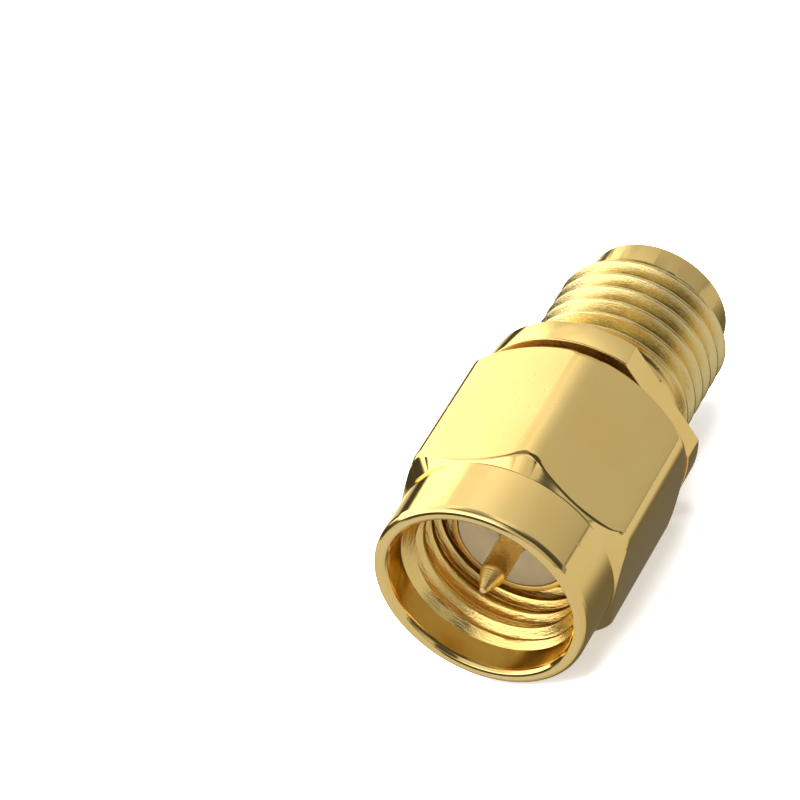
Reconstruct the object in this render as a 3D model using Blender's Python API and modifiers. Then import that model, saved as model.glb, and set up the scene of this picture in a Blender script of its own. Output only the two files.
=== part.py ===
"""Threaded coaxial adapter, plug to jack, lying on one flat of its coupling nut.

Units are metres, +Z is up. The connector axis is parallel to +Y: the plug end
is at -Y and the jack end at +Y. The origin is on the supporting surface, under
the middle of the length. Inside each object the local Z axis is the connector
axis, counted in millimetres from the nut's front face.
"""
import math

import bmesh
import bpy

MM = 0.001
SEGMENTS = 64            # round steps of the large turned surfaces
CONTACT_SEGMENTS = 32    # round steps of the contact
MERGE = 1.0e-6

# ---------------------------------------------------------------- whole part
LENGTH = 15.85           # nut front face to jack end
AXIS_HEIGHT = 4.00       # half of the nut's width across flats

# -------------------------------------------------------------- coupling nut
NUT_ACROSS_FLATS = 8.00
NUT_CORNER_R = 4.45      # hexagon corners are turned down to this radius
NUT_REAR = 8.48          # rear face
NUT_HEX_REAR = 8.05      # end of the corners at the rear chamfer
NUT_HEX_FRONT = 2.85     # end of the corners at the front chamfer
NUT_BARREL_END = 2.38    # round barrel ahead of the hexagon
NUT_BARREL_R = 3.90
NUT_EDGE = 0.20          # rounding of the barrel's front edge, along z
NUT_FRONT_R = 3.69       # front face, outer edge
NUT_MOUTH_R = 3.43       # front face, inner edge
NUT_MOUTH_BEVEL = 0.14   # bevel from the front face into the counterbore, along z
NUT_COUNTERBORE_R = 3.33
NUT_COUNTERBORE_END = 1.12
NUT_THREAD_R = 3.20      # major radius of the internal thread
NUT_THREAD_END = 5.00
NUT_WEB_R = 3.06         # running bore on the neck
NUT_GROOVE_R = 3.40
NUT_GROOVE = (6.27, 6.77)
NUT_RECESS_R = 3.45      # counterbore in the rear face
NUT_RECESS_Z = 7.60
NUT_REAR_R = 3.92

# ------------------------------------------------------------- turned body
PLUG_PLANE = 2.90        # plug reference plane, rim of the outer conductor
PLUG_SLEEVE_R = 2.28
BORE_R = 2.05            # seat of both insulators
NECK_R = 3.00
NECK_FRONT = 5.20
NECK_GROOVE_R = 2.60
NECK_GROOVE = (6.065, 6.775)
WEB_R = 1.70             # inner web between the two insulators
WEB = (8.30, 8.70)
FLANGE_R = 4.00
FLANGE = (8.91, 9.83)
FLANGE_ACROSS_FLATS = 6.78
FLANGE_FLAT_TURN = math.radians(-12.0)
THREAD_R = 3.14          # major radius of the external thread
THREAD_END = 14.50
PILOT_R = 2.63
PILOT_START = 14.92
JACK_PLANE = 13.99       # jack reference plane, step in the bore
JACK_BORE_R = 2.30
JACK_MOUTH_R = 2.36

# -------------------------------------------------------- retaining ring
RING_R = (2.72, 3.34)
RING = (6.295, 6.745)
RING_GAP = 1.30

# ------------------------------------------------- insulators and contact
INSULATOR_R = 2.03
INSULATOR_HOLE_R = 0.66
PIN_HOLE_R = 0.50        # hole round the pin, ahead of the contact's shoulder
SHOULDER = 3.26
INSULATOR_END_GAP = 0.02
CONTACT_R = 0.635
COLLAR_R = 0.95
PIN_R = 0.46
PIN_TIP = 0.37
PIN_CONE_END = 1.20
PIN_TIP_R = 0.10
SOCKET_R = 0.47
SOCKET_DEPTH = 3.00
SLOT_WIDTH = 0.18
SLOT_LENGTH = 2.60


def clear_scene():
    for obj in list(bpy.data.objects):
        bpy.data.objects.remove(obj, do_unlink=True)


def make_collection(name):
    coll = bpy.data.collections.new(name)
    bpy.context.scene.collection.children.link(coll)
    return coll


def make_material(name, color, roughness, metallic):
    mat = bpy.data.materials.new(name)
    mat.use_nodes = True
    shader = mat.node_tree.nodes["Principled BSDF"]
    shader.inputs["Base Color"].default_value = (*color, 1.0)
    shader.inputs["Roughness"].default_value = roughness
    shader.inputs["Metallic"].default_value = metallic
    mat.diffuse_color = (*color, 1.0)
    return mat


def place_on_axis(obj, empty):
    obj.parent = empty


def turned(name, profile, coll, empty, mat, closed=True, segments=SEGMENTS):
    """A profile of (radius, z) points turned about the local Z axis."""
    mesh = bpy.data.meshes.new(name)
    verts = [(r * MM, 0.0, z * MM) for r, z in profile]
    edges = [(i, i + 1) for i in range(len(verts) - 1)]
    if closed:
        edges.append((len(verts) - 1, 0))
    mesh.from_pydata(verts, edges, [])
    obj = bpy.data.objects.new(name, mesh)
    coll.objects.link(obj)
    place_on_axis(obj, empty)
    screw = obj.modifiers.new("turn", "SCREW")
    screw.axis = "Z"
    screw.angle = 2.0 * math.pi
    screw.steps = segments
    screw.render_steps = segments
    screw.use_merge_vertices = True
    screw.merge_threshold = MERGE
    screw.use_smooth_shade = True
    if mat is not None:
        mesh.materials.append(mat)
    return obj


def hide_cutter(obj):
    obj.hide_render = True
    obj.display_type = "WIRE"


def box_cutter(name, size, centre, turn, coll, empty):
    """A box of full sizes in mm, turned about the connector axis."""
    bm = bmesh.new()
    bmesh.ops.create_cube(bm, size=1.0)
    for v in bm.verts:
        v.co.x = (v.co.x * size[0] + centre[0]) * MM
        v.co.y = (v.co.y * size[1] + centre[1]) * MM
        v.co.z = (v.co.z * size[2] + centre[2]) * MM
    mesh = bpy.data.meshes.new(name)
    bm.to_mesh(mesh)
    bm.free()
    obj = bpy.data.objects.new(name, mesh)
    coll.objects.link(obj)
    place_on_axis(obj, empty)
    obj.rotation_euler = (0.0, 0.0, turn)
    hide_cutter(obj)
    return obj


def hexagon_cutter(name, across_flats, z_range, turn, coll, empty):
    """A hexagonal bar along the connector axis."""
    corner = across_flats / 2.0 / math.cos(math.pi / 6.0)
    bm = bmesh.new()
    bmesh.ops.create_cone(bm, cap_ends=True, segments=6, radius1=corner * MM,
                          radius2=corner * MM,
                          depth=(z_range[1] - z_range[0]) * MM)
    mid = 0.5 * (z_range[0] + z_range[1]) * MM
    for v in bm.verts:
        v.co.z += mid
    mesh = bpy.data.meshes.new(name)
    bm.to_mesh(mesh)
    bm.free()
    obj = bpy.data.objects.new(name, mesh)
    coll.objects.link(obj)
    place_on_axis(obj, empty)
    obj.rotation_euler = (0.0, 0.0, turn)
    hide_cutter(obj)
    return obj


def cut(obj, cutter, operation="DIFFERENCE"):
    mod = obj.modifiers.new(cutter.name, "BOOLEAN")
    mod.operation = operation
    mod.solver = "EXACT"
    mod.object = cutter


def shade(obj, degrees=30.0):
    obj.data.shade_smooth()
    obj.data.set_sharp_from_angle(angle=math.radians(degrees))


def first_corner_turn(across_flats):
    """Turn that puts a corner of the six-sided bar on the local X axis."""
    bm = bmesh.new()
    bmesh.ops.create_cone(bm, cap_ends=True, segments=6, radius1=1.0,
                          radius2=1.0, depth=1.0)
    v = bm.verts[:][0]
    angle = math.atan2(v.co.y, v.co.x)
    bm.free()
    return -(angle % (math.pi / 3.0))


def nut_profile():
    outer = [
        (NUT_REAR_R, NUT_REAR),
        (NUT_CORNER_R, NUT_HEX_REAR),
        (NUT_CORNER_R, NUT_HEX_FRONT),
        (NUT_BARREL_R, NUT_BARREL_END),
        (NUT_BARREL_R, NUT_EDGE),
        (NUT_BARREL_R - 0.30 * NUT_EDGE, 0.30 * NUT_EDGE),
        (NUT_FRONT_R, 0.0),
    ]
    inner = [
        (NUT_MOUTH_R, 0.0),
        (NUT_COUNTERBORE_R, NUT_MOUTH_BEVEL),
        (NUT_COUNTERBORE_R, NUT_COUNTERBORE_END),
        (NUT_THREAD_R, NUT_COUNTERBORE_END + 0.16),
        (NUT_THREAD_R, NUT_THREAD_END),
        (NUT_WEB_R, NUT_THREAD_END),
        (NUT_WEB_R, NUT_GROOVE[0]),
        (NUT_GROOVE_R, NUT_GROOVE[0]),
        (NUT_GROOVE_R, NUT_GROOVE[1]),
        (NUT_WEB_R, NUT_GROOVE[1]),
        (NUT_WEB_R, NUT_RECESS_Z),
        (NUT_RECESS_R, NUT_RECESS_Z),
        (NUT_RECESS_R, NUT_REAR - 0.10),
        (NUT_RECESS_R + 0.10, NUT_REAR),
    ]
    return outer + inner


def body_profile():
    outer = [
        (PILOT_R - 0.05, LENGTH),
        (PILOT_R, LENGTH - 0.05),
        (PILOT_R, PILOT_START),
        (THREAD_R, THREAD_END),
        (THREAD_R, FLANGE[1]),
        (FLANGE_R, FLANGE[1]),
        (FLANGE_R, FLANGE[0]),
        (NECK_R, FLANGE[0]),
        (NECK_R, NECK_GROOVE[1]),
        (NECK_GROOVE_R, NECK_GROOVE[1]),
        (NECK_GROOVE_R, NECK_GROOVE[0]),
        (NECK_R, NECK_GROOVE[0]),
        (NECK_R, NECK_FRONT + 0.12),
        (NECK_R - 0.12, NECK_FRONT),
        (PLUG_SLEEVE_R, NECK_FRONT),
        (PLUG_SLEEVE_R, PLUG_PLANE + 0.03),
        (PLUG_SLEEVE_R - 0.03, PLUG_PLANE),
    ]
    inner = [
        (BORE_R, PLUG_PLANE),
        (BORE_R, WEB[0]),
        (WEB_R, WEB[0]),
        (WEB_R, WEB[1]),
        (BORE_R, WEB[1]),
        (BORE_R, JACK_PLANE),
        (JACK_BORE_R, JACK_PLANE),
        (JACK_BORE_R, LENGTH - 0.06),
        (JACK_MOUTH_R, LENGTH),
    ]
    return outer + inner


def ring_profile():
    return [
        (RING_R[1], RING[1]),
        (RING_R[1], RING[0]),
        (RING_R[0], RING[0]),
        (RING_R[0], RING[1]),
    ]


def bead_profile(z0, z1, lip=0.0):
    """A bead with a through hole, narrowed to the pin over the lip's length."""
    front = [(INSULATOR_HOLE_R, z0)]
    if lip > 0.0:
        front = [(PIN_HOLE_R, z0), (PIN_HOLE_R, z0 + lip),
                 (INSULATOR_HOLE_R, z0 + lip)]
    return [
        (INSULATOR_R, z1),
        (INSULATOR_R, z0),
    ] + front + [
        (INSULATOR_HOLE_R, z1),
    ]


def contact_profile():
    end = JACK_PLANE - 0.04
    bottom = end - SOCKET_DEPTH
    collar = (WEB[0] + 0.01, WEB[1] - 0.01)
    return [
        (0.0, bottom - SOCKET_R * 0.5),
        (SOCKET_R, bottom),
        (SOCKET_R, end - 0.06),
        (SOCKET_R + 0.05, end),
        (CONTACT_R - 0.03, end),
        (CONTACT_R, end - 0.03),
        (CONTACT_R, collar[1]),
        (COLLAR_R, collar[1]),
        (COLLAR_R, collar[0]),
        (CONTACT_R, collar[0]),
        (CONTACT_R, SHOULDER),
        (PIN_R, SHOULDER),
        (PIN_R, PIN_CONE_END),
        (PIN_TIP_R, PIN_TIP),
        (0.0, PIN_TIP),
    ]


def build():
    clear_scene()
    parts = make_collection("coax_adapter")
    cutters = make_collection("cutters")

    gold = make_material("gold_plate", (0.80, 0.58, 0.22), 0.16, 1.0)
    gold_contact = make_material("gold_contact", (0.83, 0.60, 0.22), 0.14, 1.0)
    spring = make_material("spring_bronze", (0.72, 0.50, 0.24), 0.25, 1.0)
    white = make_material("white_fluoropolymer", (0.86, 0.85, 0.82), 0.45, 0.0)

    # The connector axis: local Z points along world +Y, local -Y points up.
    axis = bpy.data.objects.new("connector_axis", None)
    parts.objects.link(axis)
    axis.location = (0.0, -0.5 * LENGTH * MM, AXIS_HEIGHT * MM)
    axis.rotation_euler = (-0.5 * math.pi, 0.0, 0.0)

    # Turned body: plug sleeve, neck, flange with two flats, threaded jack.
    body = turned("jack_body", body_profile(), parts, axis, gold)
    half = FLANGE_ACROSS_FLATS / 2.0
    depth = FLANGE[1] - FLANGE[0] + 0.4
    mid = 0.5 * (FLANGE[0] + FLANGE[1])
    for i, side in enumerate((1.0, -1.0)):
        flat = box_cutter("flange_flat_%d" % i, (2.0, 9.0, depth),
                          (side * (half + 1.0), 0.0, mid),
                          FLANGE_FLAT_TURN, cutters, axis)
        cut(body, flat)
    shade(body)

    # Coupling nut: a turned blank kept inside a hexagonal bar.
    nut = turned("coupling_nut", nut_profile(), parts, axis, gold)
    bar = hexagon_cutter("hexagon_bar", NUT_ACROSS_FLATS, (-1.0, 10.0),
                         first_corner_turn(NUT_ACROSS_FLATS), cutters, axis)
    cut(nut, bar, "INTERSECT")
    shade(nut)

    # Split ring in the groove of the neck, sprung out into the nut's groove.
    ring = turned("retaining_ring", ring_profile(), parts, axis, spring,
                  segments=48)
    gap = box_cutter("ring_gap", (RING_GAP, 2.0, 1.0),
                     (0.0, -3.0, 0.5 * (RING[0] + RING[1])), 0.0, cutters,
                     axis)
    cut(ring, gap)
    shade(ring)

    # Insulator beads pressed in from each end against the inner web.
    plug_bead = turned("insulator_plug",
                       bead_profile(PLUG_PLANE, WEB[0] - INSULATOR_END_GAP,
                                    SHOULDER - PLUG_PLANE - 0.03),
                       parts, axis, white)
    jack_bead = turned("insulator_jack",
                       bead_profile(WEB[1] + INSULATOR_END_GAP, JACK_PLANE),
                       parts, axis, white)
    shade(plug_bead)
    shade(jack_bead)

    # Centre contact: pin, collar held between the beads, slotted socket.
    contact = turned("center_contact", contact_profile(), parts, axis,
                     gold_contact, closed=False, segments=CONTACT_SEGMENTS)
    end = JACK_PLANE - 0.04
    for i, turn in enumerate((0.25 * math.pi, 0.75 * math.pi)):
        slot = box_cutter("socket_slot_%d" % i,
                          (SLOT_WIDTH, 2.0, SLOT_LENGTH + 1.0),
                          (0.0, 0.0, end + 0.5 - 0.5 * SLOT_LENGTH),
                          turn, cutters, axis)
        cut(contact, slot)
    shade(contact)


build()
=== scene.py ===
import math

import bmesh
import bpy
import numpy as np
from mathutils import Matrix, Vector


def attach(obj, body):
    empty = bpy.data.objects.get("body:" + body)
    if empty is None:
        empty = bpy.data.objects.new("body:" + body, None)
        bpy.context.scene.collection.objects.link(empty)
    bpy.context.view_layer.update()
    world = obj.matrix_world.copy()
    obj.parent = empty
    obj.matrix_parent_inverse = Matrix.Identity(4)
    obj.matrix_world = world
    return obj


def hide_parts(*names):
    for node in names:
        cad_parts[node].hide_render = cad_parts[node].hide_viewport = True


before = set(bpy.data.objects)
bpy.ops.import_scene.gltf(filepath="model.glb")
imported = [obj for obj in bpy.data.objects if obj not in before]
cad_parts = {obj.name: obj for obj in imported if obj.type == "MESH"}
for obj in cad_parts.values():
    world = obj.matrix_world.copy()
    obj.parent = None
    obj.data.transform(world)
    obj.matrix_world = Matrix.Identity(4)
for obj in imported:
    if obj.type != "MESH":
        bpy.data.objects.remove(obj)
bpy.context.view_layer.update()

MM = 0.001
LENGTH = 15.85
HALF = 0.5 * LENGTH
AXIS_Z = 4.0
PITCH = 25.4 / 36.0

# --------------------------------------------------------------------------
# Geometry helpers. Every turned surface is described by points (r, z) in mm,
# z counted from the nut's front face, and by the angle psi round the axis,
# counted from straight up towards +X.
# --------------------------------------------------------------------------


def world_point(psi, r, z):
    return (r * math.sin(psi) * MM, (z - HALF) * MM,
            (AXIS_Z + r * math.cos(psi)) * MM)


def round_corners(points, radii, steps=4):
    """An (r, z) polyline with each corner replaced by an arc of steps+1 points.
    A corner of radius 0 is kept as one point. The count never depends on the
    shape, so neighbouring sections join row by row."""
    out = []
    n = len(points)
    for i, (p, rad) in enumerate(zip(points, radii)):
        p = np.array(p, float)
        if rad <= 0.0 or i == 0 or i == n - 1:
            out.append(tuple(p))
            continue
        a = np.array(points[i - 1], float) - p
        b = np.array(points[i + 1], float) - p
        la, lb = np.linalg.norm(a), np.linalg.norm(b)
        ua, ub = a / la, b / lb
        cosw = float(np.clip(np.dot(ua, ub), -1.0, 1.0))
        half = 0.5 * math.acos(cosw)
        if half > 0.5 * math.pi - 1e-3:
            out.extend([tuple(p)] * (steps + 1))
            continue
        cut = min(rad / math.tan(half), 0.48 * la, 0.48 * lb)
        rr = cut * math.tan(half)
        mid = ua + ub
        mid = mid / np.linalg.norm(mid)
        centre = p + mid * (rr / math.sin(half))
        s = p + ua * cut - centre
        e = p + ub * cut - centre
        ang = math.acos(float(np.clip(np.dot(s, e) / (rr * rr), -1.0, 1.0)))
        for k in range(steps + 1):
            t = k / steps
            if ang < 1e-6:
                q = s * (1 - t) + e * t
            else:
                q = (math.sin((1 - t) * ang) * s + math.sin(t * ang) * e)
                q = q / math.sin(ang)
            out.append(tuple(centre + q))
    return out


def mesh_object(name, verts, faces, mats, merge=2.0e-7):
    """faces is a list of (corner indices, material index)."""
    mesh = bpy.data.meshes.new(name)
    mesh.from_pydata(verts, [], [f for f, _ in faces])
    for poly, (_, m) in zip(mesh.polygons, faces):
        poly.material_index = m
    for m in mats:
        mesh.materials.append(m)
    bm = bmesh.new()
    bm.from_mesh(mesh)
    bmesh.ops.remove_doubles(bm, verts=bm.verts[:], dist=merge)
    bmesh.ops.dissolve_degenerate(bm, edges=bm.edges[:], dist=merge)
    bmesh.ops.recalc_face_normals(bm, faces=bm.faces[:])
    bm.to_mesh(mesh)
    bm.free()
    mesh.update()
    obj = bpy.data.objects.new(name, mesh)
    bpy.context.scene.collection.objects.link(obj)
    return obj


def smooth(obj, degrees=38.0, weighted=True):
    obj.data.shade_smooth()
    obj.data.set_sharp_from_angle(angle=math.radians(degrees))
    if weighted:
        mod = obj.modifiers.new("face_normals", "WEIGHTED_NORMAL")
        mod.mode = "FACE_AREA"
        mod.weight = 50
        mod.keep_sharp = True


def sweep(name, angles, section, mats, closed=True):
    """section(psi) gives rows of (r, z, material of the strip that
    follows). psi is counted on without wrapping, for helices.
    The last column repeats the first one turn on, and the two are merged."""
    verts, faces = [], []
    cols = []
    for psi in list(angles) + [angles[0] + 2.0 * math.pi]:
        rows = section(psi)
        start = len(verts)
        cols.append((start, rows))
        for r, z, _ in rows:
            verts.append(world_point(psi, r, z))
    count = len(cols[0][1])
    for (s0, rows), (s1, rows1) in zip(cols[:-1], cols[1:]):
        if len(rows1) != count:
            raise ValueError("uneven rows in " + name)
        last = count if closed else count - 1
        for j in range(last):
            k = (j + 1) % count
            faces.append(((s0 + j, s1 + j, s1 + k, s0 + k), rows[j][2]))
    return mesh_object(name, verts, faces, mats)


# --------------------------------------------------------------- threads
def thread_shape(u, depth, crest, root, k=0.10):
    """Depth below the crest at u turns from the middle of a crest, with flat
    crest and root (as shares of a turn) and small roundings."""
    u = abs((u + 0.5) % 1.0 - 0.5)
    c, b = 0.5 * crest, 0.5 - 0.5 * root
    t = (u - c) / (b - c)
    if t <= 0.0:
        return 0.0
    if t >= 1.0:
        return depth
    if t < k:
        return depth * (t * t / (2 * k)) / (1 - k)
    if t > 1 - k:
        s = 1 - t
        return depth * (1 - (s * s / (2 * k)) / (1 - k))
    return depth * (t - 0.5 * k) / (1 - k)


def thread_stations(crest, root, per_flank=6, k=0.10):
    """Shares of a turn where rows of vertices lie, densest at the roundings."""
    c, b = 0.5 * crest, 0.5 - 0.5 * root
    k = k * (b - c)
    half = [0.0, c, c + 0.5 * k, c + k]
    inner = np.linspace(c + k, b - k, per_flank)[1:-1]
    half += list(inner) + [b - k, b - 0.5 * k, b, 0.5]
    half = sorted(set(round(h, 9) for h in half))
    full = half[:-1] + [0.5] + [1.0 - h for h in reversed(half[1:-1])]
    return full


def thread_rows(psi, z0, z1, phase, stations, radius):
    """Points from z0 up to z1 that follow the helix, held at the two ends."""
    first = math.floor((z0 - phase) / PITCH) - 2
    last = math.ceil((z1 - phase) / PITCH) + 2
    shift = PITCH * psi / (2.0 * math.pi)
    out = []
    for turn in range(first, last):
        for u in stations:
            z = phase + (turn + u) * PITCH + shift
            out.append(min(max(z, z0), z1))
    return [(radius(z, (z - shift - phase) / PITCH), z) for z in out]


def angle_list(step, features=()):
    """Angles for one turn with a set step, through each feature angle."""
    marks = sorted(set([round(f % (2 * math.pi), 9) for f in features] + [0.0]))
    out = []
    for a, b in zip(marks, marks[1:] + [2 * math.pi]):
        n = max(1, int(math.ceil((b - a) / step - 1e-6)))
        out += [a + (b - a) * k / n for k in range(n)]
    return out


# --------------------------------------------------------------------------
# Materials
# --------------------------------------------------------------------------
class Tree:
    def __init__(self, name):
        self.mat = bpy.data.materials.new(name)
        self.mat.use_nodes = True
        self.nt = self.mat.node_tree
        self.bsdf = self.nt.nodes["Principled BSDF"]
        self.coord = self.node("ShaderNodeTexCoord").outputs["Object"]

    def node(self, kind, **props):
        n = self.nt.nodes.new(kind)
        for k, v in props.items():
            setattr(n, k, v)
        return n

    def link(self, a, b):
        self.nt.links.new(a, b)

    def math(self, op, a, b=None, c=None, clamp=False):
        n = self.node("ShaderNodeMath", operation=op, use_clamp=clamp)
        for i, v in enumerate((a, b, c)):
            if v is None:
                continue
            if isinstance(v, (int, float)):
                n.inputs[i].default_value = v
            else:
                self.link(v, n.inputs[i])
        return n.outputs[0]

    def vector(self, x, y, z):
        n = self.node("ShaderNodeCombineXYZ")
        for s, v in zip(n.inputs, (x, y, z)):
            if isinstance(v, (int, float)):
                s.default_value = v
            else:
                self.link(v, s)
        return n.outputs[0]

    def noise(self, vec, scale, detail=3.0, rough=0.5, distortion=0.0):
        n = self.node("ShaderNodeTexNoise")
        self.link(vec, n.inputs["Vector"])
        n.inputs["Scale"].default_value = scale
        n.inputs["Detail"].default_value = detail
        n.inputs["Roughness"].default_value = rough
        n.inputs["Distortion"].default_value = distortion
        return n.outputs["Fac"]

    def ramp(self, fac, stops):
        n = self.node("ShaderNodeValToRGB")
        el = n.color_ramp.elements
        while len(el) < len(stops):
            el.new(0.5)
        for e, (p, c) in zip(el, stops):
            e.position = p
            e.color = c if len(c) == 4 else (*c, 1.0)
        self.link(fac, n.inputs["Fac"])
        return n.outputs["Color"]

    def spread(self, value, a, b, lo, hi):
        n = self.node("ShaderNodeMapRange")
        self.link(value, n.inputs["Value"])
        for k, v in (("From Min", a), ("From Max", b), ("To Min", lo), ("To Max", hi)):
            n.inputs[k].default_value = v
        return n.outputs["Result"]

    def axial(self):
        """(distance from the axis, distance along it) in metres, and the
        sine and cosine of the angle round it."""
        sep = self.node("ShaderNodeSeparateXYZ")
        self.link(self.coord, sep.inputs[0])
        x, y, z = sep.outputs
        up = self.math("SUBTRACT", z, AXIS_Z * MM)
        rad = self.math("SQRT", self.math("ADD", self.math("MULTIPLY", x, x),
                                          self.math("MULTIPLY", up, up)))
        return rad, y, self.math("DIVIDE", x, rad), self.math("DIVIDE", up, rad)

    def turned_noise(self, round_scale, length_mm, detail=3.0, rough=0.6, lean=1.0):
        """Noise drawn out round the axis: round_scale sets how often it changes
        round the turn, length_mm how often along and across it. lean is 1 for
        surfaces that widen away from the nut's front, below 0 for narrowing."""
        rad, along, sx, cx = self.axial()
        k = 1.0 / (length_mm * MM)
        vec = self.vector(self.math("MULTIPLY", sx, round_scale),
                          self.math("MULTIPLY", cx, round_scale),
                          self.math("MULTIPLY", self.math(
                              "ADD", along, self.math("MULTIPLY", rad, lean)), k))
        return self.noise(vec, 1.0, detail, rough)

    def bump(self, height, distance, strength=1.0, before=None):
        n = self.node("ShaderNodeBump")
        n.inputs["Strength"].default_value = strength
        n.inputs["Distance"].default_value = distance
        self.link(height, n.inputs["Height"])
        if before is not None:
            self.link(before, n.inputs["Normal"])
        return n.outputs["Normal"]


GOLD = (0.98, 0.705, 0.255)


def gold_material(name, rough=0.10, lathe=0.0, lathe_pitch=0.04, dents=0.0,
                  tint=GOLD, pits=0.0, streak=0.0, streak_pitch=0.06,
                  chatter=0.0, dull=0.0, lean=1.0):
    """streak: tool marks drawn out round the turn; chatter: short broken marks;
    dull: how much the roughness changes from mark to mark."""
    t = Tree(name)
    b = t.bsdf
    b.inputs["Metallic"].default_value = 1.0
    b.inputs["Specular Tint"].default_value = (1.0, 0.90, 0.66, 1.0)
    # plating colour: faint cloudy change between a paler and a redder gold
    cloud = t.noise(t.coord, 420.0, 4.0, 0.55)
    pale = tuple(min(1.0, c * k) for c, k in zip(tint, (1.005, 1.02, 1.06)))
    deep = tuple(c * k for c, k in zip(tint, (0.985, 0.965, 0.90)))
    t.link(t.ramp(cloud, [(0.32, deep), (0.68, pale)]), b.inputs["Base Color"])
    # handling marks: roughness varies in soft patches
    wipe = t.noise(t.coord, 900.0, 5.0, 0.6)
    matt = t.spread(wipe, 0.3, 0.7, rough * 0.75, rough * 1.35)
    if dull > 0.0:
        marks = t.turned_noise(10.0, 0.07, 2.0, 0.6, lean)
        matt = t.math("ADD", matt, t.spread(marks, 0.42, 0.66, 0.0, dull))
    t.link(matt, b.inputs["Roughness"])
    normal = None
    if dents > 0.0:
        n1 = t.noise(t.coord, 650.0, 2.0, 0.5)
        normal = t.bump(n1, dents * MM, 1.0)
    if pits > 0.0:
        spots = t.noise(t.coord, 4200.0, 1.0, 0.5)
        hole = t.ramp(spots, [(0.0, (0, 0, 0)), (0.25, (0, 0, 0)), (0.33, (1, 1, 1))])
        normal = t.bump(hole, pits * MM, 1.0, normal)
    if lathe > 0.0:
        rad, along, _, _ = t.axial()
        k = 1.0 / (lathe_pitch * MM)
        vec = t.vector(t.math("MULTIPLY", rad, k), t.math("MULTIPLY", along, k), 0.0)
        rings = t.noise(vec, 1.0, 3.0, 0.65)
        normal = t.bump(rings, lathe * MM, 1.0, normal)
    if streak > 0.0:
        normal = t.bump(t.turned_noise(7.0, streak_pitch, lean=lean), streak * MM, 1.0,
                        normal)
    if chatter > 0.0:
        normal = t.bump(t.turned_noise(70.0, 0.12, 2.0, lean=lean), chatter * MM, 1.0,
                        normal)
    if normal is not None:
        t.link(normal, b.inputs["Normal"])
    return t.mat


gold_flat = gold_material("gold_flats", rough=0.07, dents=0.0018, pits=0.0018)
gold_turned = gold_material("gold_turned", rough=0.07, lathe=0.0005, dents=0.0008, pits=0.0008)
# gold_faces is paler than the plating elsewhere: painted light on the flat end faces
gold_face = gold_material("gold_faces", rough=0.27, lathe=0.0016, lathe_pitch=0.03,
                          tint=(1.0, 0.745, 0.315))
# gold_satin_turned is darker than the plating elsewhere: painted shade on the jack's pilot
gold_satin = gold_material("gold_satin_turned", rough=0.15, lathe=0.0010, lathe_pitch=0.04,
                           tint=(0.800, 0.575, 0.215))
# gold_bores is darker than the plating elsewhere: painted shade in the bores and counterbores
gold_bore = gold_material("gold_bores", rough=0.16, lathe=0.0014, lathe_pitch=0.05,
                          streak=0.0015, tint=(0.86, 0.62, 0.18))
# gold_nut_threads is darker than the plating elsewhere: painted shade in the nut's thread grooves
gold_nut_thread = gold_material("gold_nut_threads", rough=0.11, tint=(0.93, 0.67, 0.23),
                                streak=0.0150, streak_pitch=0.08, chatter=0.0040,
                                dull=0.10, lean=-0.6)
# gold_threads is darker and less saturated than the plating elsewhere: painted shade on the jack's
# thread
gold_thread = gold_material("gold_threads", rough=0.09, tint=(0.88, 0.700, 0.315),
                            streak=0.0075, streak_pitch=0.05, chatter=0.0085,
                            dull=0.10)
gold_contact = gold_material("gold_contact_finish", rough=0.26, lathe=0.0030,
                             lathe_pitch=0.06, tint=(0.92, 0.67, 0.24))
# gold_contact_tip is paler than the plating elsewhere: painted light on the pin's cone
gold_tip = gold_material("gold_contact_tip", rough=0.28, lathe=0.0050,
                         lathe_pitch=0.04, tint=(1.0, 0.77, 0.31))
# gold_sleeve_rim is paler than the plating elsewhere: a painted highlight on the sleeve's rim and the
# flange's rear edge
gold_rim = gold_material("gold_sleeve_rim", rough=0.30, lathe=0.0030,
                         lathe_pitch=0.04, tint=(1.0, 0.82, 0.45))
bronze = gold_material("spring_bronze_finish", rough=0.28, lathe=0.0010,
                       lathe_pitch=0.02, tint=(0.80, 0.55, 0.26))


def polymer_material(name, low, high):
    t = Tree(name)
    b = t.bsdf
    cloud = t.noise(t.coord, 700.0, 3.0, 0.5)
    t.link(t.ramp(cloud, [(0.3, low), (0.7, high)]), b.inputs["Base Color"])
    b.inputs["Roughness"].default_value = 0.42
    b.inputs["Subsurface Weight"].default_value = 0.35
    b.inputs["Subsurface Radius"].default_value = (1.0, 0.95, 0.9)
    b.inputs["Subsurface Scale"].default_value = 0.0004
    b.inputs["IOR"].default_value = 1.36
    rad, along, _, _ = t.axial()
    vec = t.vector(t.math("MULTIPLY", rad, 14000.0), t.math("MULTIPLY", along, 14000.0), 0.0)
    rings = t.noise(vec, 1.0, 2.0, 0.5)
    t.link(t.bump(rings, 0.0018 * MM), b.inputs["Normal"])
    return t.mat


white_polymer = polymer_material("white_polymer", (0.62, 0.585, 0.52), (0.68, 0.65, 0.59))
# painted shade and painted gold bounce light: the same white polymer as the jack's bead, made dark and
# yellow for the bead inside the nut
polymer_painted_shade = polymer_material("polymer_painted_shade", (0.34, 0.265, 0.15), (0.38, 0.30, 0.175))

# --------------------------------------------------------------------------
# Coupling nut
# --------------------------------------------------------------------------
FLAT = 4.00          # half of the width across flats
CORNER = 4.449       # corners turned down to this radius
CORNER_ROUND = 0.80  # rounding between a flat and the turned corner
CROWN = 0.0105       # the polished flats fall away by this much times y squared
TURN_IN, TURN_FRONT, TURN_REAR = 0.45, 0.05, 0.04   # rounded corners of each flat
BARREL = 3.90
CONE_FOOT, CONE_SLOPE = 2.38, 0.85


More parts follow.
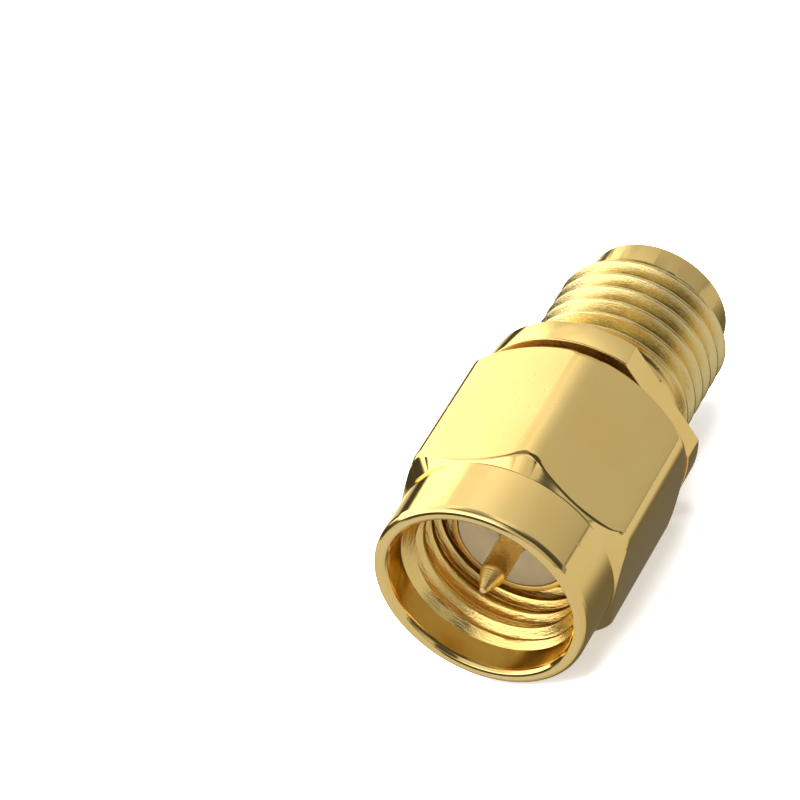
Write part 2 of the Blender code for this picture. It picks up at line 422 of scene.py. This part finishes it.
def hexagon_columns(flat_steps=26, round_steps=7, band_steps=3):
    """(angle, radius, turn) round the hexagon, one flat after another. Each flat
    is very slightly crowned, and a rounding leads from its edge to the corner.
    turn goes from 0 on the flat to 1 at its edge, where its outline turns in."""
    rho = CORNER_ROUND
    low, high = math.radians(15.0), math.radians(30.0)
    for _ in range(60):
        phi = 0.5 * (low + high)
        cx, cy = (CORNER - rho) * math.cos(phi), (CORNER - rho) * math.sin(phi)
        start = 0.0
        for _ in range(12):
            start = math.atan(2.0 * CROWN * (cy + rho * math.sin(start)))
        y0 = cy + rho * math.sin(start)
        if cx + rho * math.cos(start) > FLAT - CROWN * y0 * y0:
            low = phi
        else:
            high = phi
    arc = []
    for k in range(round_steps + 1):
        a = start + (phi - start) * k / round_steps
        arc.append((cx + rho * math.cos(a), cy + rho * math.sin(a)))
    one = []
    for k in range(flat_steps):
        y = -y0 * math.cos(math.pi * k / flat_steps)
        x = FLAT - CROWN * y * y
        turn = max(0.0, 1.0 - (y0 - abs(y)) / TURN_IN)
        one.append((math.atan2(y, x), math.hypot(x, y), turn ** 2.0))
    for x, y in arc[:-1]:
        one.append((math.atan2(y, x), math.hypot(x, y), 1.0))
    for k in range(band_steps):
        a = phi + (math.pi / 3.0 - 2.0 * phi) * k / band_steps
        one.append((a, CORNER, 1.0))
    for x, y in reversed(arc[1:]):
        one.append((math.pi / 3.0 - math.atan2(y, x), math.hypot(x, y), 1.0))
    out = []
    for side in range(6):
        out += [(side * math.pi / 3.0 + a, r, turn) for a, r, turn in one]
    return out


NUT_CREST, NUT_ROOT = 0.24, 0.16      # shares of a turn
NUT_DEPTH = 0.32
NUT_MAJOR = 3.20
NUT_PHASE = 0.06
MOUTH = 3.335                         # counterbore ahead of the thread
nut_stations = thread_stations(NUT_CREST, NUT_ROOT, per_flank=5)


def nut_thread_radius(z, u):
    r = NUT_MAJOR - NUT_DEPTH + thread_shape(u, NUT_DEPTH, NUT_CREST, NUT_ROOT)
    r = max(r, MOUTH - (z - 1.12))          # lead-in cone
    r = max(r, NUT_MAJOR - max(0.0, (4.75 - z)) * 1.2)   # run-out at the rear
    return min(r, MOUTH)


def nut_section(psi, hex_r, turn):
    cone0 = CONE_FOOT
    cone1 = CONE_FOOT + (hex_r - BARREL) * CONE_SLOPE + turn * TURN_FRONT
    rear = 8.48 - (hex_r - 3.92) * (0.43 / 0.53) - turn * TURN_REAR
    outer = [(3.55, 8.48), (3.92, 8.48), (hex_r, rear), (hex_r, cone1),
             (BARREL, cone0), (BARREL, 0.28), (3.872, 0.10), (3.775, 0.028),
             (3.685, 0.0), (3.535, 0.0), (3.452, 0.030), (3.375, 0.12),
             (MOUTH, 0.22), (MOUTH, 1.12)]
    radii = [0.0, 0.05, 0.12 + 0.26 * turn, 0.16 + 0.22 * turn, 0.06, 0.30, 0.14, 0.07, 0.05, 0.05, 0.07,
             0.10, 0.06, 0.0]
    mats = [2, 1, 0, 1, 1, 1, 1, 1, 2, 1, 1, 1, 3, 3]
    steps = 6
    pts = round_corners(outer, radii, steps)
    rows = []
    i = 0
    for c, rad in enumerate(radii):
        n = 1 if (rad <= 0.0 or c in (0, len(radii) - 1)) else steps + 1
        for k in range(n):
            rows.append((*pts[i], mats[c] if k == n - 1 else
                         (mats[c] if k >= n // 2 else mats[c - 1])))
            i += 1
    for r, z in thread_rows(psi, 1.12, 4.75, NUT_PHASE, nut_stations,
                            nut_thread_radius):
        rows.append((r, z, 4))
    tail = [(3.20, 4.75), (3.20, 5.00), (3.06, 5.00), (3.06, 6.27), (3.40, 6.27),
            (3.40, 6.77), (3.06, 6.77), (3.06, 7.60), (3.45, 7.60), (3.45, 8.38),
            (3.55, 8.48)]
    tail = round_corners(tail, [0.0, 0.03, 0.03, 0.02, 0.02, 0.02, 0.02, 0.04,
                                0.04, 0.03, 0.0], 3)
    for r, z in tail[1:-1]:
        rows.append((r, z, 3))
    return rows


hex_columns = hexagon_columns()
hex_lookup = {round(a, 9): (r, turn) for a, r, turn in hex_columns}


def nut_rows(psi):
    base = psi
    if base > hex_columns[-1][0] + 1e-9:
        base = psi - 2.0 * math.pi
    return nut_section(psi, *hex_lookup[round(base, 9)])


nut = sweep("coupling_nut_finish", [a for a, _, _ in hex_columns], nut_rows,
            [gold_flat, gold_turned, gold_face, gold_bore, gold_nut_thread])
smooth(nut)
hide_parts("coupling_nut")
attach(nut, "nut")

# --------------------------------------------------------------------------
# Turned body
# --------------------------------------------------------------------------
FLANGE = 3.995
FLANGE_FLAT = 3.39
FLANGE_TURN = math.radians(78.0)
JACK_MAJOR = 3.14
JACK_DEPTH = 0.42
JACK_CREST, JACK_ROOT = 0.07, 0.18
JACK_SOFT = 0.12                      # rounding of the crests, share of a flank
JACK_PHASE = 0.13
jack_stations = thread_stations(JACK_CREST, JACK_ROOT, per_flank=6, k=JACK_SOFT)


def flange_columns(step=math.radians(1.5), rho=0.05):
    """(angle, radius) round the flange, with its two flats."""
    y0 = math.sqrt((FLANGE - rho) ** 2 - (FLANGE_FLAT - rho) ** 2)
    phi = math.atan2(y0, FLANGE_FLAT - rho)
    one = []
    n = 30
    for k in range(n):
        y = -y0 + 2.0 * y0 * k / n
        one.append((math.atan2(y, FLANGE_FLAT), math.hypot(FLANGE_FLAT, y)))
    for k in range(5):
        a = phi * k / 5
        x, y = FLANGE_FLAT - rho + rho * math.cos(a), y0 + rho * math.sin(a)
        one.append((math.atan2(y, x), math.hypot(x, y)))
    arc = math.pi - 2.0 * phi
    n = int(math.ceil(arc / step))
    for k in range(n):
        one.append((phi + arc * k / n, FLANGE))
    for k in range(5):
        a = phi * (1.0 - k / 5)
        x, y = FLANGE_FLAT - rho + rho * math.cos(a), y0 + rho * math.sin(a)
        one.append((math.pi - math.atan2(y, x), math.hypot(x, y)))
    out = []
    for side in range(2):
        out += [(FLANGE_TURN + side * math.pi + a, r) for a, r in one]
    return out


def jack_thread_radius(z, u):
    r = JACK_MAJOR - thread_shape(u, JACK_DEPTH, JACK_CREST, JACK_ROOT, JACK_SOFT)
    r = min(r, JACK_MAJOR - (z - 14.50) * 1.21) if z > 14.50 else r   # lead-in
    r = max(r, 2.63)
    fade = (11.05 - z) / 0.75                        # run-out by the flange
    if fade > 0.0:
        r = max(r, JACK_MAJOR - JACK_DEPTH * max(0.0, 1.0 - fade))
    return r


def body_rows_at(psi, flange_r):
    rows = []
    head = [(2.36, 15.85), (2.63, 15.85), (2.63, 14.94)]
    pts = round_corners(head, [0.0, 0.05, 0.0], 5)
    mats = [2] * 3 + [1] * 4
    for k, (r, z) in enumerate(pts):
        rows.append((r, z, 2 if k < 3 else 6))
    for r, z in reversed(thread_rows(psi, 10.20, 14.94, JACK_PHASE, jack_stations,
                                     jack_thread_radius)):
        rows.append((r, z, 4))
    mid = [(3.14, 10.20), (3.14, 9.80), (flange_r, 9.80), (flange_r, 8.84),
           (3.00, 8.84), (3.00, 6.775), (2.60, 6.775), (2.60, 6.065),
           (3.00, 6.065), (3.00, 5.20), (2.28, 5.20), (2.28, 2.90), (2.05, 2.90),
           (2.05, 8.30), (1.70, 8.30), (1.70, 8.70), (2.05, 8.70),
           (2.05, 13.99), (2.30, 13.99), (2.30, 15.79), (2.36, 15.85)]
    rad = [0.0, 0.05, 0.035, 0.05, 0.06, 0.03, 0.02, 0.02, 0.02, 0.10, 0.10,
           0.08, 0.02, 0.03, 0.02, 0.02, 0.03, 0.02, 0.02, 0.02, 0.0]
    mat = [1, 2, 5, 2, 7, 1, 1, 1, 1, 2, 7, 7, 3, 3, 3, 3, 3, 2, 3, 3, 3]
    steps = 4
    pts = round_corners(mid, rad, steps)
    i = 0
    for c in range(len(mid)):
        n = 1 if (rad[c] <= 0.0 or c in (0, len(mid) - 1)) else steps + 1
        for k in range(n):
            rows.append((*pts[i], mat[c] if k >= n // 2 else mat[c - 1]))
            i += 1
    return rows[:-1]


flange_cols = flange_columns()
flange_lookup = {round(a, 9): r for a, r in flange_cols}


def body_rows(psi):
    base = psi
    if base > flange_cols[-1][0] + 1e-9:
        base = psi - 2.0 * math.pi
    return body_rows_at(psi, flange_lookup[round(base, 9)])


body = sweep("jack_body_finish", [a for a, _ in flange_cols], body_rows,
             [gold_flat, gold_turned, gold_face, gold_bore, gold_thread, gold_turned,
              gold_satin, gold_rim])
smooth(body)
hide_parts("jack_body")
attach(body, "adapter_body")

# --------------------------------------------------------------------------
# Insulator beads
# --------------------------------------------------------------------------
round_angles = angle_list(math.radians(2.5))


def bead(name, z0, z1, node, finish, lip=0.0):
    mid = (0.66, 0.5 * (z0 + z1))
    loop = [mid, (0.66, z1), (2.03, z1), (2.03, z0)]
    radii = [0, 0.03, 0.05, 0.05]
    if lip > 0.0:
        loop += [(0.49, z0), (0.49, z0 + lip), (0.66, z0 + lip), mid]
        radii += [0.03, 0.02, 0.02, 0]
    else:
        loop += [(0.66, z0), mid]
        radii += [0.03, 0]
    pts = round_corners(loop, radii, 3)[:-1]
    obj = sweep(name, round_angles, lambda psi: [(r, z, 0) for r, z in pts],
                [finish])
    smooth(obj)
    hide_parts(node)
    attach(obj, "adapter_body")
    return obj


# the plug's bead takes the darkened copy: painted shade inside the nut
bead("insulator_plug_finish", 2.92, 8.28, "insulator_plug", polymer_painted_shade, 0.31)
bead("insulator_jack_finish", 8.72, 13.97, "insulator_jack", white_polymer)

# --------------------------------------------------------------------------
# Centre contact: the solid of revolution, then the two crossed slots
# --------------------------------------------------------------------------
END = 13.95
contact_line = [(0.0, END - 3.2), (0.47, END - 3.0), (0.47, END), (0.635, END),
                (0.635, 8.69), (0.95, 8.69), (0.95, 8.31), (0.635, 8.31),
                (0.635, 3.26), (0.46, 3.26), (0.46, 1.20)]
contact_round = [0, 0.05, 0.045, 0.035, 0.02, 0.03, 0.03, 0.02, 0.03, 0.02, 0.05]
for k in range(8):                    # turning rings left on the pin's cone
    for share, cut, rounding in ((0.0, 0.0, 0.010), (0.60, 0.020, 0.008)):
        t = 0.08 + 0.86 * (k + share) / 8.0
        contact_line.append((0.46 - 0.34 * t - cut * 0.93, 1.20 - 0.83 * t - cut * 0.37))
        contact_round.append(rounding)
contact_line += [(0.12, 0.37), (0.0, 0.37)]
contact_round += [0.035, 0]
contact_pts = round_corners(contact_line, contact_round, 4)
contact_angles = angle_list(math.radians(3.75))
contact = sweep("center_contact_finish", contact_angles,
                lambda psi: [(r, z, 1 if z < 1.25 else 0) for r, z in contact_pts],
                [gold_contact, gold_tip], closed=False)


def slot_box(turn):
    bm = bmesh.new()
    bmesh.ops.create_cube(bm, size=1.0)
    for v in bm.verts:
        a, b, c = v.co.x * 0.18, v.co.y * 2.0, v.co.z * 3.6 + END + 0.5 - 1.3
        v.co = Vector(((a * math.cos(turn) + b * math.sin(turn)) * MM,
                       (c - HALF) * MM,
                       (AXIS_Z - a * math.sin(turn) + b * math.cos(turn)) * MM))
    bmesh.ops.recalc_face_normals(bm, faces=bm.faces[:])
    mesh = bpy.data.meshes.new("slot")
    bm.to_mesh(mesh)
    bm.free()
    obj = bpy.data.objects.new("slot", mesh)
    bpy.context.scene.collection.objects.link(obj)
    return obj


def apply_modifiers(obj):
    dg = bpy.context.evaluated_depsgraph_get()
    mesh = bpy.data.meshes.new_from_object(obj.evaluated_get(dg))
    old = obj.data
    obj.modifiers.clear()
    obj.data = mesh
    bpy.data.meshes.remove(old)


for turn in (0.25 * math.pi, 0.75 * math.pi):
    cutter = slot_box(turn)
    mod = contact.modifiers.new("slot", "BOOLEAN")
    mod.operation, mod.solver, mod.object = "DIFFERENCE", "EXACT", cutter
    bpy.context.view_layer.update()
    apply_modifiers(contact)
    bpy.data.objects.remove(cutter, do_unlink=True)
smooth(contact)
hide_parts("center_contact")
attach(contact, "adapter_body")

# --------------------------------------------------------------------------
# Retaining ring
# --------------------------------------------------------------------------
ring_half_gap = math.asin(0.65 / 3.03)
ring_loop = [(3.03, 6.745), (3.34, 6.745), (3.34, 6.295), (2.72, 6.295),
             (2.72, 6.745), (3.03, 6.745)]
ring_pts = round_corners(ring_loop, [0, 0.06, 0.06, 0.06, 0.06, 0], 3)[:-1]


def split_ring():
    verts, faces = [], []
    n = 150
    count = len(ring_pts)
    for i in range(n + 1):
        psi = ring_half_gap + (2 * math.pi - 2 * ring_half_gap) * i / n
        for r, z in ring_pts:
            verts.append(world_point(psi, r, z))
    for i in range(n):
        for j in range(count):
            k = (j + 1) % count
            a, b = i * count, (i + 1) * count
            faces.append(((a + j, b + j, b + k, a + k), 0))
    faces.append((tuple(range(count)), 0))
    faces.append((tuple(n * count + j for j in reversed(range(count))), 0))
    return mesh_object("retaining_ring_finish", verts, faces, [bronze])


ring = split_ring()
smooth(ring)
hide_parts("retaining_ring")
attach(ring, "retainer")

# --------------------------------------------------------------------------
# Camera
# --------------------------------------------------------------------------
cam_data = bpy.data.cameras.new("camera")
cam_data.sensor_width = 36.0
cam_data.lens = 212.1614
cam_data.clip_start = 0.005
cam_data.clip_end = 10.0
camera = bpy.data.objects.new("camera", cam_data)
bpy.context.scene.collection.objects.link(camera)
forward = Vector((-0.5480030, 0.6515979, -0.5245121)).normalized()
level = forward.cross(Vector((0, 0, 1))).normalized()
upright = level.cross(forward).normalized()
roll = math.radians(25.10906)
cam_up = (upright * math.cos(roll) + level * math.sin(roll)).normalized()
cam_right = forward.cross(cam_up).normalized()
m = Matrix((cam_right, cam_up, -forward)).transposed().to_4x4()
m.translation = Vector((84.02829, -107.13974, 92.42905)) * MM
camera.matrix_world = m
bpy.context.scene.camera = camera

# --------------------------------------------------------------------------
# Floor, studio light
# --------------------------------------------------------------------------
bm = bmesh.new()
bmesh.ops.create_grid(bm, x_segments=8, y_segments=8, size=0.6)
floor_mesh = bpy.data.meshes.new("floor")
bm.to_mesh(floor_mesh)
bm.free()
floor = bpy.data.objects.new("floor", floor_mesh)
bpy.context.scene.collection.objects.link(floor)
floor.visible_glossy = False
ft = Tree("floor_paper")
ft.bsdf.inputs["Roughness"].default_value = 0.9
ft.bsdf.inputs["Specular IOR Level"].default_value = 0.1
ft.bsdf.inputs["Emission Color"].default_value = (1.0, 1.0, 1.0, 1.0)
ft.bsdf.inputs["Emission Strength"].default_value = 0.45   # lit from below
grain = ft.noise(ft.coord, 1500.0, 3.0, 0.6)
ft.link(ft.ramp(grain, [(0.3, (0.93, 0.93, 0.93)), (0.7, (0.96, 0.96, 0.955))]),
        ft.bsdf.inputs["Base Color"])
floor.data.materials.append(ft.mat)

world = bpy.data.worlds.new("studio")
bpy.context.scene.world = world
world.use_nodes = True
wt = world.node_tree
wt.nodes.clear()
w_out = wt.nodes.new("ShaderNodeOutputWorld")
w_bg = wt.nodes.new("ShaderNodeBackground")
wt.links.new(w_bg.outputs[0], w_out.inputs[0])
w_dir = wt.nodes.new("ShaderNodeTexCoord").outputs["Generated"]
w_sep = wt.nodes.new("ShaderNodeSeparateXYZ")
wt.links.new(w_dir, w_sep.inputs[0])


def w_math(op, a, b=None):
    n = wt.nodes.new("ShaderNodeMath")
    n.operation = op
    for i, v in enumerate((a, b)):
        if v is None:
            continue
        if isinstance(v, (int, float)):
            n.inputs[i].default_value = v
        else:
            wt.links.new(v, n.inputs[i])
    return n.outputs[0]


def w_step(value, lo, hi, out_lo=0.0, out_hi=1.0):
    n = wt.nodes.new("ShaderNodeMapRange")
    n.interpolation_type = "SMOOTHSTEP"
    wt.links.new(value, n.inputs["Value"])
    n.inputs["From Min"].default_value = lo
    n.inputs["From Max"].default_value = hi
    n.inputs["To Min"].default_value = out_lo
    n.inputs["To Max"].default_value = out_hi
    return n.outputs["Result"]


def sine(degrees):
    return math.sin(math.radians(degrees))


def direction(az, el):
    a, e = math.radians(az), math.radians(el)
    return (math.sin(a) * math.cos(e), math.cos(a) * math.cos(e), math.sin(e))


def lobe(az, el, inner, outer):
    """1 within inner degrees of a direction, falling to 0 at outer degrees."""
    dot = wt.nodes.new("ShaderNodeVectorMath")
    dot.operation = "DOT_PRODUCT"
    wt.links.new(w_dir, dot.inputs[0])
    dot.inputs[1].default_value = direction(az, el)
    return w_step(dot.outputs["Value"], math.cos(math.radians(outer)),
                  math.cos(math.radians(inner)))


def panel(az, half, edge, low, high):
    """A soft-edged band: half degrees either side of az, from low to high,
    each given as (outside, inside) heights above the horizon."""
    dot = wt.nodes.new("ShaderNodeVectorMath")
    dot.operation = "DOT_PRODUCT"
    wt.links.new(w_dir, dot.inputs[0])
    dot.inputs[1].default_value = direction(az, 0.0)
    z = w_sep.outputs["Z"]
    level = w_math("SQRT", w_math("MAXIMUM", w_math("SUBTRACT", 1.0,
                                                    w_math("MULTIPLY", z, z)), 1e-6))
    side = w_step(w_math("DIVIDE", dot.outputs["Value"], level),
                  math.cos(math.radians(half + edge)),
                  math.cos(math.radians(half - edge)))
    up = w_step(z, sine(low[0]), sine(low[1]))
    down = w_step(z, sine(high[0]), sine(high[1]), 1.0, 0.0)
    return w_math("MULTIPLY", side, w_math("MULTIPLY", up, down))


def w_mix(a, b, mask):
    return w_math("ADD", w_math("MULTIPLY", a, w_math("SUBTRACT", 1.0, mask)),
                  w_math("MULTIPLY", b, mask))


# the room: a white table up to a little below the horizon, a grey wall above
# it that grows lighter with height
room = wt.nodes.new("ShaderNodeValToRGB")
wt.links.new(w_math("MULTIPLY", w_math("ADD", w_sep.outputs["Z"], 1.0), 0.5),
             room.inputs["Fac"])
heights = [(-90, 0.60), (-40, 0.64), (-20, 0.67), (-9.8, 0.67), (-9.2, 0.20),
           (-8.2, 0.22), (-7.4, 0.44), (12, 0.52), (25, 0.56), (35, 0.62),
           (45, 0.74), (55, 0.92), (61, 0.95), (68, 0.35), (75, 0.22), (90, 0.22)]
el = room.color_ramp.elements
while len(el) < len(heights):
    el.new(0.5)
for e, (deg, v) in zip(el, heights):
    e.position = 0.5 + 0.5 * sine(deg)
    e.color = (v, v, v, 1.0)
level = w_math("MULTIPLY", room.outputs["Color"], 1.0)
# the wall is lighter on the side of the window
level = w_math("MULTIPLY", level, w_math("ADD", 1.0, w_math("MULTIPLY", 0.30, w_math(
    "MULTIPLY", lobe(-60, 45, 15, 58), w_step(w_sep.outputs["Z"], -0.1, 0.2)))))
# the object's own shadow on the table
level = w_math("MULTIPLY", level, w_step(lobe(-15, -68, 20, 54), 0.0, 1.0, 1.0, 0.26))
# the room is dark on the right, from the table's edge up to overhead
level = w_mix(level, 0.07, panel(96, 33, 6, (-8, -3), (66, 78)))
# one large soft window on the left, round to the front
level = w_mix(level, 1.98, panel(-112, 74, 10, (3, 7), (38, 53)))
# the dark sill below the window, which rises to a post on its left and to
# the stand behind the camera
level = w_mix(level, 0.06, panel(-84, 43, 5, (-9, -6), (2, 5)))
level = w_mix(level, 0.06, lobe(-98, 5, 9, 13))
level = w_mix(level, 0.06, panel(-118, 10, 4, (-14, -11), (8, 12)))
level = w_mix(level, 0.06, panel(-155, 33, 4, (-11, -9), (7, 11)))
# the dark stand level with the eye
level = w_mix(level, 0.07, lobe(145, 31, 9, 14))
# the window's light on the wall beside it
level = w_mix(level, 1.00, lobe(-27, 45, 5, 12))
# the sunlit table in front of it
level = w_mix(level, 1.15, lobe(-43, -24, 5, 12))
wt.links.new(level, w_bg.inputs["Strength"])
w_bg.inputs["Color"].default_value = (1.0, 1.0, 1.0, 1.0)

lamp = bpy.data.lights.new("overhead_softbox", "AREA")
lamp.shape = "DISK"
lamp.size = 0.7
lamp.energy = 11.0
lamp_obj = bpy.data.objects.new("overhead_softbox", lamp)
bpy.context.scene.collection.objects.link(lamp_obj)
lamp_obj.location = (-0.05, -0.03, 0.55)
lamp_obj.rotation_euler = (0.0, 0.0, 0.0)
lamp_obj.visible_glossy = False

bpy.context.scene.view_settings.view_transform = "Standard"
